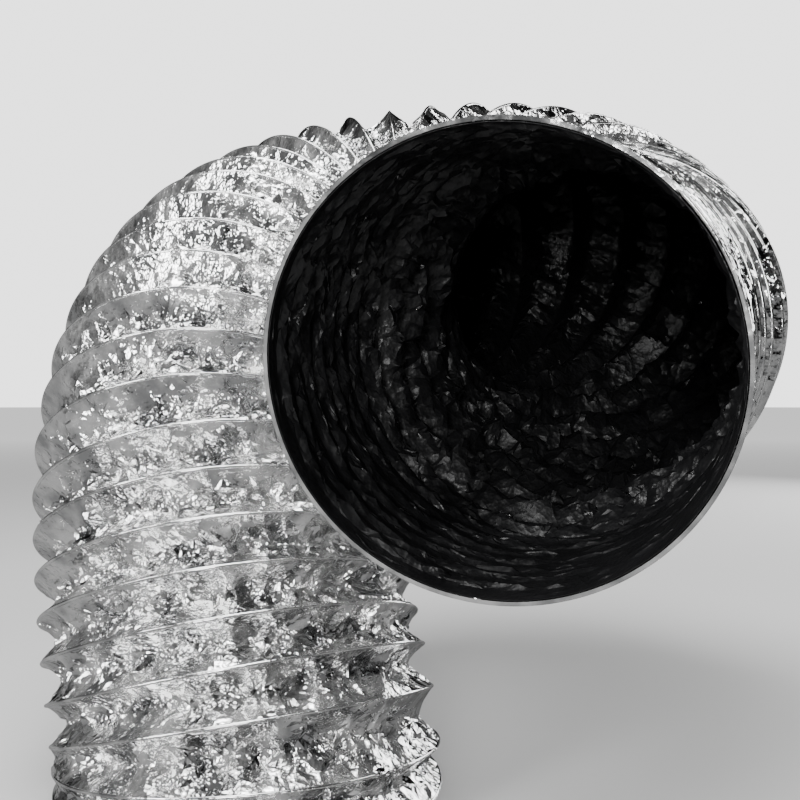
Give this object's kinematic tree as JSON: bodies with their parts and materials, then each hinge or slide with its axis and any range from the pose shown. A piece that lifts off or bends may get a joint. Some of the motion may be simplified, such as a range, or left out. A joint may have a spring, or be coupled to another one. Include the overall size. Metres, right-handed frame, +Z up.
{
  "type": "flexible air duct",
  "caption": "Length of uninsulated flexible air duct, crumpled foil outside and black inside, wound on a spring wire and curled over to an open mouth.",
  "frame": {"origin": "centre of the lower end, on the duct's centreline", "axes": "+Z up along the duct at its lower end, -Y towards the side that the mouth opens to, +X to the right seen from there"},
  "size_m": [0.4559, 0.5028, 0.4309],
  "materials": {
    "foil": "bright crumpled foil laminate",
    "liner": "glossy crumpled black film",
    "wire": "drawn spring steel"
  },
  "bodies": {
    "section_01": {"outer_foil_01": "foil", "inner_liner_01": "liner", "helix_wire_01": "wire"},
    "section_02": {"outer_foil_02": "foil", "inner_liner_02": "liner", "helix_wire_02": "wire"},
    "section_03": {"outer_foil_03": "foil", "inner_liner_03": "liner", "helix_wire_03": "wire"},
    "section_04": {"outer_foil_04": "foil", "inner_liner_04": "liner", "helix_wire_04": "wire"},
    "section_05": {"outer_foil_05": "foil", "inner_liner_05": "liner", "helix_wire_05": "wire"},
    "section_06": {"outer_foil_06": "foil", "inner_liner_06": "liner", "helix_wire_06": "wire"},
    "section_07": {"outer_foil_07": "foil", "inner_liner_07": "liner", "helix_wire_07": "wire"},
    "section_08": {"outer_foil_08": "foil", "inner_liner_08": "liner", "helix_wire_08": "wire"},
    "section_09": {"outer_foil_09": "foil", "inner_liner_09": "liner", "helix_wire_09": "wire"},
    "section_10": {"outer_foil_10": "foil", "inner_liner_10": "liner", "helix_wire_10": "wire"},
    "section_11": {"outer_foil_11": "foil", "inner_liner_11": "liner", "helix_wire_11": "wire"},
    "section_12": {"outer_foil_12": "foil", "inner_liner_12": "liner", "helix_wire_12": "wire"},
    "section_13": {"outer_foil_13": "foil", "inner_liner_13": "liner", "helix_wire_13": "wire"},
    "section_14": {"outer_foil_14": "foil", "inner_liner_14": "liner", "helix_wire_14": "wire"},
    "section_15": {"outer_foil_15": "foil", "inner_liner_15": "liner", "helix_wire_15": "wire"}
  },
  "joints": [
    {"name": "column_stretch", "type": "slide", "parent": "section_01", "child": "section_02", "axis": [-0.2096, 0.2522, 0.9447], "range_m": [-0.015, 0.02], "deforming": ["outer_foil_02", "inner_liner_02", "helix_wire_02", "outer_foil_01", "inner_liner_01", "helix_wire_01"]},
    {"name": "column_sway", "type": "hinge", "parent": "section_02", "child": "section_03", "pos_m": [-0.01794, 0.02522, 0.10246], "axis": [0.075, 0.9303, -0.3591], "range_deg": [-12, 12], "deforming": ["outer_foil_03", "inner_liner_03", "helix_wire_03"]},
    {"name": "column_stretch_middle", "type": "slide", "parent": "section_03", "child": "section_04", "axis": [-0.1412, 0.4972, 0.856], "range_m": [-0.015, 0.02], "deforming": ["outer_foil_04", "inner_liner_04", "helix_wire_04"]},
    {"name": "column_nod", "type": "hinge", "parent": "section_04", "child": "section_05", "pos_m": [-0.03287, 0.09308, 0.21443], "axis": [0.9994, -0.0239, -0.0263], "range_deg": [-12, 7], "deforming": ["outer_foil_05", "inner_liner_05", "helix_wire_05"]},
    {"name": "column_stretch_top", "type": "slide", "parent": "section_05", "child": "section_06", "axis": [0.2226, 0.8036, 0.552], "range_m": [-0.015, 0.02], "deforming": ["outer_foil_06", "inner_liner_06", "helix_wire_06"]},
    {"name": "elbow_open", "type": "hinge", "parent": "section_06", "child": "section_07", "pos_m": [0.00926, 0.20763, 0.30005], "axis": [-0.1233, -0.4675, 0.8753], "range_deg": [0, 12], "deforming": ["outer_foil_07", "inner_liner_07", "helix_wire_07"]},
    {"name": "elbow_open_2", "type": "hinge", "parent": "section_07", "child": "section_08", "pos_m": [0.07651, 0.23631, 0.32484], "axis": [-0.1233, -0.4675, 0.8753], "range_deg": [0, 12], "deforming": ["outer_foil_08", "inner_liner_08", "helix_wire_08"]},
    {"name": "elbow_open_3", "type": "hinge", "parent": "section_08", "child": "section_09", "pos_m": [0.15226, 0.22157, 0.32711], "axis": [-0.1331, -0.5267, 0.8396], "range_deg": [0, 12], "deforming": ["outer_foil_09", "inner_liner_09", "helix_wire_09"]},
    {"name": "elbow_open_4", "type": "hinge", "parent": "section_09", "child": "section_10", "pos_m": [0.20548, 0.1708, 0.3037], "axis": [-0.1331, -0.5267, 0.8396], "range_deg": [0, 12], "deforming": ["outer_foil_10", "inner_liner_10", "helix_wire_10"]},
    {"name": "elbow_open_5", "type": "hinge", "parent": "section_10", "child": "section_11", "pos_m": [0.21654, 0.10324, 0.26714], "axis": [0.469, -0.3968, 0.789], "range_deg": [0, 12], "deforming": ["outer_foil_11", "inner_liner_11", "helix_wire_11"]},
    {"name": "mouth_swing", "type": "hinge", "parent": "section_11", "child": "section_12", "pos_m": [0.19177, 0.03254, 0.24631], "axis": [-0.0626, -0.1032, 0.9927], "range_deg": [-1, 12], "deforming": ["outer_foil_12", "inner_liner_12", "helix_wire_12"]},
    {"name": "mouth_nod", "type": "hinge", "parent": "section_12", "child": "section_13", "pos_m": [0.1571, -0.03135, 0.23651], "axis": [-0.9033, 0.4291, 0], "range_deg": [-10, 10], "deforming": ["outer_foil_13", "inner_liner_13", "helix_wire_13"]},
    {"name": "mouth_pull", "type": "slide", "parent": "section_13", "child": "section_14", "axis": [-0.3697, -0.9141, -0.1663], "range_m": [-0.01, 0.04], "deforming": ["outer_foil_14", "inner_liner_14", "helix_wire_14"]},
    {"name": "mouth_pull_rim", "type": "slide", "parent": "section_14", "child": "section_15", "axis": [-0.3203, -0.9299, -0.1807], "range_m": [-0.01, 0.04], "deforming": ["outer_foil_15", "inner_liner_15", "helix_wire_15"]}
  ],
  "couplings": [
    {"joint": "column_stretch_middle", "follows": "column_stretch", "ratio": 1},
    {"joint": "column_stretch_top", "follows": "column_stretch", "ratio": 1},
    {"joint": "elbow_open_2", "follows": "elbow_open", "ratio": 1},
    {"joint": "elbow_open_3", "follows": "elbow_open", "ratio": 1},
    {"joint": "elbow_open_4", "follows": "elbow_open", "ratio": 1},
    {"joint": "elbow_open_5", "follows": "elbow_open", "ratio": 1},
    {"joint": "mouth_pull_rim", "follows": "mouth_pull", "ratio": 1}
  ]
}
